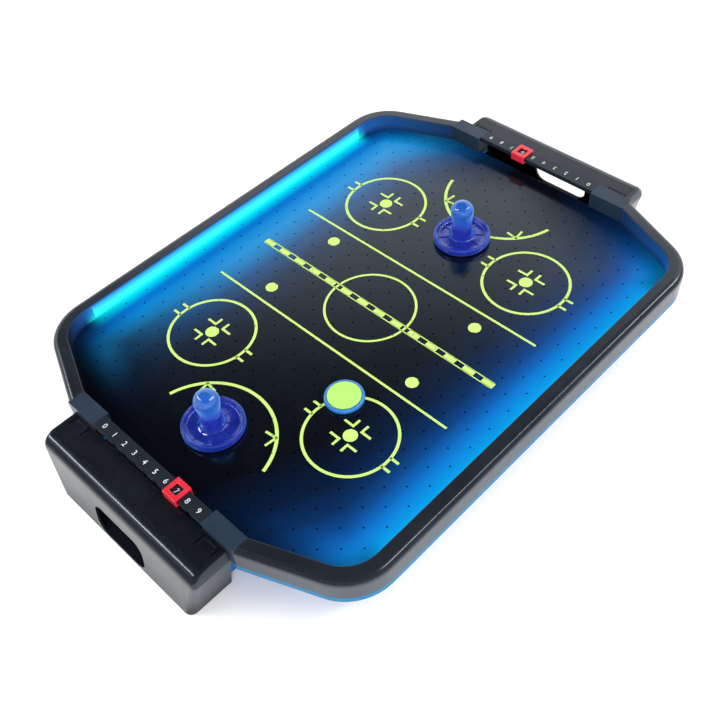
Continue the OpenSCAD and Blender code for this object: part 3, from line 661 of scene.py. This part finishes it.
def make_striker(end):
    """A dished base with radial ribs, and a hollow domed grip over the peg on its neck."""
    base_node, grip_node = f"striker_base_{end}", f"striker_knob_{end}"
    body = end + "_striker"
    low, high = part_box(base_node)
    grip_low, grip_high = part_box(grip_node)
    centre = Vector(((low.x + high.x) / 2, (low.y + high.y) / 2, low.z))
    # These are in millimetres, with heights above the base's foot.
    rim = (high.x - low.x) / 2 / MM
    knob = (grip_high.x - grip_low.x) / 2 / MM
    neck, peg, peg_top = knob - 2, 6.5, 4
    lip = 8.0
    top = (grip_high.z - centre.z) / MM
    foot = (grip_low.z - centre.z) / MM

    bm = bmesh.new()
    lathe(bm, centre, rounded([
        (0, 0.05), (rim - 1.2, 0.05), (rim, 1.4), (rim - 0.1, lip - 1.6), (rim - 1.1, lip),
        (rim - 2.6, lip), (rim - 3.6, lip - 1.6), (rim - 5.2, 3.4), (22, 2.6), (knob + 3, 3.0),
        (knob - 0.4, 5.0), (neck, foot - 0.05), (peg, foot - 0.05), (peg, foot + peg_top),
        (0, foot + peg_top),
    ], 1.2))
    add_ribs(bm, centre, knob - 1.5)
    base = add_object(f"striker_{end}_base", bm, MATERIALS["striker_blue"], body)
    shade_smooth(base, 40)
    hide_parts(base_node)

    dome_z = top - knob
    angles = [i * math.pi / 24 for i in range(13)]
    dome = [(knob * math.cos(t), dome_z + knob * math.sin(t)) for t in angles]
    hollow, roof = peg + 0.1, foot + peg_top + 0.2
    wall = rounded([(0, roof), (hollow, roof), (hollow, foot + 0.1), (neck, foot + 0.1), dome[0]], 1.0)
    bm = bmesh.new()
    lathe(bm, centre, wall + [Vector(p) * MM for p in dome[1:-1]] + [Vector((0, top * MM))])
    grip = add_object(f"striker_{end}_grip", bm, GRIP, body)
    shade_smooth(grip, 60)
    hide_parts(grip_node)


def make_puck():
    """A blue shell with a raised lip, and the green disc that sits inside the lip."""
    low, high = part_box("puck_body")
    centre = Vector(((low.x + high.x) / 2, (low.y + high.y) / 2, low.z))
    # These are in millimetres, with heights above the puck's foot.
    rim = (high.x - low.x) / 2 / MM
    tall = (high.z - low.z) / MM
    disc_top = (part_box("puck_disc")[1].z - centre.z) / MM

    bm = bmesh.new()
    lathe(bm, centre, rounded([
        (0, 0), (rim - 1.4, 0), (rim, 1.6), (rim, tall - 1.6), (rim - 1.2, tall),
        (rim - 2.6, tall), (rim - 3.1, tall - 1.0), (0, tall - 1.0),
    ], 0.9))
    shell = add_object("puck_shell", bm, MATERIALS["puck_blue"], "puck")
    shade_smooth(shell)
    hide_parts("puck_body")

    bm = bmesh.new()
    lathe(bm, centre, rounded([
        (0, tall - 0.9), (rim - 3.2, tall - 0.9), (rim - 3.3, disc_top - 0.1),
        (rim - 4.4, disc_top), (rim - 8, disc_top - 0.3), (0, disc_top - 0.3),
    ], 0.5))
    disc = add_object("puck_top", bm, MATERIALS["puck_green"], "puck")
    shade_smooth(disc)
    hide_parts("puck_disc")


# ----------------------------------------------------------------- rink print

PRINT_T = 0.03 * MM     # thickness of the ink
LINE_W = 3.0 * MM       # circles of the face-off spots
THIN_W = 2.6 * MM       # every other line
SPOT_X, SPOT_Y, SPOT_R = 100 * MM, 131.2 * MM, 45.6 * MM
DOT_X, DOT_Y, DOT_R = 100.7 * MM, 47.0 * MM, 6.7 * MM
CROSS_LINE_Y, CROSS_HALF_W = 66.9 * MM, 161.4 * MM
CENTRE_R = 47.8 * MM
CREASE_Y, CREASE_R = 227.3 * MM, 70.2 * MM


def strip(bm, points, width, closed=False):
    """Adds a flat raised band of the given width along a line of XY points."""
    count = len(points)
    sides = []
    for i, p in enumerate(points):
        before = points[i - 1] if (closed or i > 0) else p
        after = points[(i + 1) % count] if (closed or i < count - 1) else p
        a = (p - before).normalized() if (p - before).length > 0 else None
        b = (after - p).normalized() if (after - p).length > 0 else None
        a, b = a or b, b or a
        mid = (a + b).normalized()
        out = Vector((-mid.y, mid.x)) * (width / 2 / max(mid.dot(a), 0.3))
        sides.append([p + out, p - out])
    rings = []
    for left, right in sides:
        rings.append([
            bm.verts.new((q.x, q.y, z))
            for q, z in (
                (left, SURFACE_Z), (left, SURFACE_Z + PRINT_T),
                (right, SURFACE_Z + PRINT_T), (right, SURFACE_Z),
            )
        ])
    steps = count if closed else count - 1
    for i in range(steps):
        here, there = rings[i], rings[(i + 1) % count]
        for k in range(4):
            bm.faces.new((here[k], here[(k + 1) % 4], there[(k + 1) % 4], there[k]))
    if not closed:
        bm.faces.new(rings[0])
        bm.faces.new(rings[-1])


def arc(centre, radius, start, end, step=4.0):
    """XY points along an arc, with its angles and its step in degrees."""
    count = max(3, round(abs(end - start) / step) + 1)
    return [
        centre + radius * Vector((math.cos(t), math.sin(t)))
        for t in (math.radians(start + (end - start) * i / (count - 1)) for i in range(count))
    ]


def circle(bm, centre, radius, width):
    """Adds a closed ring of the given width."""
    strip(bm, arc(centre, radius, 0, 360)[:-1], width, closed=True)


def dot(bm, centre, radius):
    """Adds a filled round mark."""
    ring = arc(centre, radius, 0, 360, 10.0)[:-1]
    low = [bm.verts.new((p.x, p.y, SURFACE_Z)) for p in ring]
    high = [bm.verts.new((p.x, p.y, SURFACE_Z + PRINT_T)) for p in ring]
    bm.faces.new(low)
    bm.faces.new(high)
    for i in range(len(ring)):
        j = (i + 1) % len(ring)
        bm.faces.new((low[i], low[j], high[j], high[i]))


def line(bm, a, b, width):
    """Adds a straight band from a to b."""
    strip(bm, [Vector(a), Vector(b)], width)


def face_off_spot(bm, centre):
    """Circle with its centre dot, four corner marks and two pairs of ticks."""
    circle(bm, centre, SPOT_R, LINE_W)
    dot(bm, centre, 7.2 * MM)
    corner_x, corner_y = 5.5 * MM, 9.5 * MM
    tip_x, tip_y = 17.0 * MM, 18.5 * MM
    tick_y, tick_length = 6.0 * MM, 10.5 * MM
    for sx in (-1, 1):
        for sy in (-1, 1):
            strip(bm, [
                centre + Vector((sx * corner_x, sy * tip_y)),
                centre + Vector((sx * corner_x, sy * corner_y)),
                centre + Vector((sx * tip_x, sy * corner_y)),
            ], THIN_W)
        for sy in (-1, 1):
            root = centre + Vector((sx * (SPOT_R - 1.0 * MM), sy * tick_y))
            line(bm, root, root + Vector((sx * tick_length, 0)), 2.8 * MM)


def crease(bm, end):
    """Goal arc of one end, with its two small angle marks."""
    tilt = 12.6
    turn = 180 if end > 0 else 0
    points = arc(Vector((0, end * CREASE_Y)), CREASE_R, turn + tilt, turn + 180 - tilt)
    strip(bm, points, LINE_W * 1.15)
    arm, skew = 13 * MM, 1.5 * MM
    for sx in (-1, 1):
        corner = Vector((sx * 50 * MM, end * 178.8 * MM))
        strip(bm, [
            corner + Vector((-sx * arm, end * skew)), corner, corner + Vector((-sx * skew, end * arm)),
        ], THIN_W)


def centre_bar(bm):
    """Two thin border lines with alternating filled and open blocks between them."""
    half_length, half_w = 161 * MM, 3.4 * MM
    for sy in (-1, 1):
        line(bm, (-half_length, sy * half_w), (half_length, sy * half_w), 1.2 * MM)
    count = 27
    pitch = 2 * half_length / count
    for i in range(0, count, 2):
        start = -half_length + i * pitch
        line(bm, (start, 0), (start + pitch * 1.15, 0), 2 * half_w)


def make_rink_print():
    """All of the board's print, as one thin piece."""
    bm = bmesh.new()
    for sx in (-1, 1):
        for sy in (-1, 1):
            face_off_spot(bm, Vector((sx * SPOT_X, sy * SPOT_Y)))
            dot(bm, Vector((sx * DOT_X, sy * DOT_Y)), DOT_R)
    for sy in (-1, 1):
        line(bm, (-CROSS_HALF_W, sy * CROSS_LINE_Y), (CROSS_HALF_W, sy * CROSS_LINE_Y), THIN_W)
        crease(bm, sy)
    circle(bm, Vector((0, 0)), CENTRE_R, THIN_W)
    centre_bar(bm)
    add_object("rink_print", bm, PRINT, "table")


# --------------------------------------------------------------- score digits


def make_digits(side, end):
    """The marks 0 to 9 on one score rail, read from that end of the table; end is -1 or 1."""
    low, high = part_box("score_rail_" + side)
    pitch = 15.3 * MM
    toward_end = 2.4 * MM
    lift, thickness = 0.04 * MM, 0.05 * MM
    for digit in range(10):
        name = f"{side}_digit_{digit}"
        curve = bpy.data.curves.new(name, "FONT")
        curve.body = str(digit)
        curve.size = 7.9 * MM
        curve.extrude = thickness
        curve.align_x = "CENTER"
        curve.align_y = "CENTER"
        curve.resolution_u = 6
        text = bpy.data.objects.new(name, curve)
        bpy.context.scene.collection.objects.link(text)
        text.location = (
            -end * (digit - 4.5) * pitch, (low.y + high.y) / 2 + end * toward_end, RAIL_TOP_Z + lift
        )
        text.rotation_euler = (0, 0, math.pi if end > 0 else 0)
        bpy.context.view_layer.update()
        mesh = evaluated_mesh(text)
        mesh.transform(text.matrix_world)
        bpy.data.objects.remove(text)
        mesh.materials.clear()
        mesh.materials.append(DIGIT)
        printed = bpy.data.objects.new(name, mesh)
        bpy.context.scene.collection.objects.link(printed)
        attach(printed, "table")


# ---------------------------------------------------------------------- stage


def make_camera():
    """A camera over the near right corner, looking down along the table and slightly rolled."""
    camera = bpy.data.cameras.new("camera")
    camera.lens = 47.53
    camera.sensor_width = 36
    azimuth, elevation, roll = (math.radians(a) for a in (48.90, 48.79, -6.21))
    place = Vector((0.5001, -0.4623, SURFACE_Z + 0.7020))
    forward = Vector((
        -math.sin(azimuth) * math.cos(elevation),
        math.cos(azimuth) * math.cos(elevation),
        -math.sin(elevation),
    ))
    piece = bpy.data.objects.new("camera", camera)
    bpy.context.scene.collection.objects.link(piece)
    piece.rotation_mode = "QUATERNION"
    piece.rotation_quaternion = forward.to_track_quat("-Z", "Y") @ Quaternion((0, 0, 1), roll)
    piece.location = place
    bpy.context.scene.camera = piece


def area_light(name, place, target, size, power, along=(1, 0, 0), shiny=False):
    """A panel of light whose first side runs along a chosen direction.

    Only a shiny one shows in reflections.
    """
    light = bpy.data.lights.new(name, "AREA")
    light.shape = "RECTANGLE"
    light.size, light.size_y = size
    light.energy = power
    piece = bpy.data.objects.new(name, light)
    bpy.context.scene.collection.objects.link(piece)
    piece.location = place
    back = (Vector(place) - Vector(target)).normalized()
    side = (Vector(along) - back * back.dot(Vector(along))).normalized()
    piece.rotation_mode = "QUATERNION"
    piece.rotation_quaternion = Matrix((side, back.cross(side), back)).transposed().to_quaternion()
    piece.visible_glossy = shiny


def make_world():
    """Pale surroundings near the horizon, dark ones overhead, with a soft panel past the far end."""
    world = bpy.data.worlds.new("studio")
    bpy.context.scene.world = world
    world.use_nodes = True
    tree = world.node_tree
    background = tree.nodes["Background"]
    coords = tree.nodes.new("ShaderNodeTexCoord")
    split = tree.nodes.new("ShaderNodeSeparateXYZ")
    tree.links.new(coords.outputs["Generated"], split.inputs[0])

    def smooth_step(axis, low, high):
        node = tree.nodes.new("ShaderNodeMapRange")
        node.interpolation_type = "SMOOTHSTEP"
        node.inputs["From Min"].default_value = low
        node.inputs["From Max"].default_value = high
        tree.links.new(split.outputs[axis], node.inputs["Value"])
        return node.outputs["Result"]

    grey_by_height = tree.nodes.new("ShaderNodeValToRGB")
    stops = [(0.0, 1.0), (0.50, 1.5), (0.645, 1.7), (0.718, 0.70), (0.75, 0.18), (0.79, 0.0)]
    elements = grey_by_height.color_ramp.elements
    while len(elements) < len(stops):
        elements.new(0.5)
    for element, (height, grey) in zip(elements, stops):
        element.position = height
        element.color = (grey, grey, grey, 1)
    tree.links.new(split.outputs["Z"], grey_by_height.inputs["Fac"])
    tree.links.new(grey_by_height.outputs["Color"], background.inputs["Color"])

    # Low down the strength is 1 all round; higher up it is 1 past the far end and 0 elsewhere.
    strength = tree.nodes.new("ShaderNodeMix")
    tree.links.new(smooth_step("Z", 0.48, 0.60), strength.inputs["Factor"])
    strength.inputs["A"].default_value = 1.0
    tree.links.new(smooth_step("Y", 0.18, 0.48), strength.inputs["B"])
    tree.links.new(strength.outputs["Result"], background.inputs["Strength"])


def make_floor():
    """A plain pale floor, just under the table's feet."""
    g = Graph("floor_pale")
    g.set(Base_Color=g.blend(g.noise(3.0), (0.86, 0.86, 0.86), (0.88, 0.88, 0.88)), Roughness=0.8)
    half_width = 8
    bm = bmesh.new()
    bmesh.ops.create_grid(bm, x_segments=1, y_segments=1, size=half_width)
    mesh = bpy.data.meshes.new("floor")
    bm.to_mesh(mesh)
    bm.free()
    mesh.materials.append(g.material)
    floor = bpy.data.objects.new("floor", mesh)
    bpy.context.scene.collection.objects.link(floor)
    floor.location = (0, 0, -0.2 * MM)


def make_stage():
    """Camera, surroundings, floor and lights; the two strips give the edges their highlights."""
    make_camera()
    make_world()
    make_floor()
    area_light("top_light", (0.0, 0.0, 2.2), (0, 0, 0), (3.0, 3.0), 48)
    area_light("left_light", (-1.8, 0.9, 1.3), (0, 0, 0), (1.2, 1.6), 10)
    area_light("right_fill", (1.5, -1.1, 0.40), (0.2, -0.1, 0.0), (1.4, 0.7), 45)
    area_light("front_strip", (-0.90, -1.04, 1.05), (0, -0.33, 0.065), (1.5, 0.12), 13, shiny=True)
    area_light(
        "right_strip", (1.0, 0.75, 1.08), (0.22, 0, 0.078), (1.6, 0.17), 15,
        along=(-0.19, 0.96, -0.24), shiny=True,
    )
    scene = bpy.context.scene
    scene.view_settings.view_transform = "Standard"
    scene.view_settings.look = "None"


# ------------------------------------------------------------------- assembly

dress_frame()
make_stage()
make_rink_print()
make_digits("near", -1)
make_digits("far", 1)
make_striker("near")
make_striker("far")
make_puck()
for part, edge in (("goal_box", 0.5), ("goal_lid", 0.35), ("score_rail", 0.4), ("score_slider", 0.6)):
    for side in ("near", "far"):
        softened(f"{part}_{side}", edge * MM)
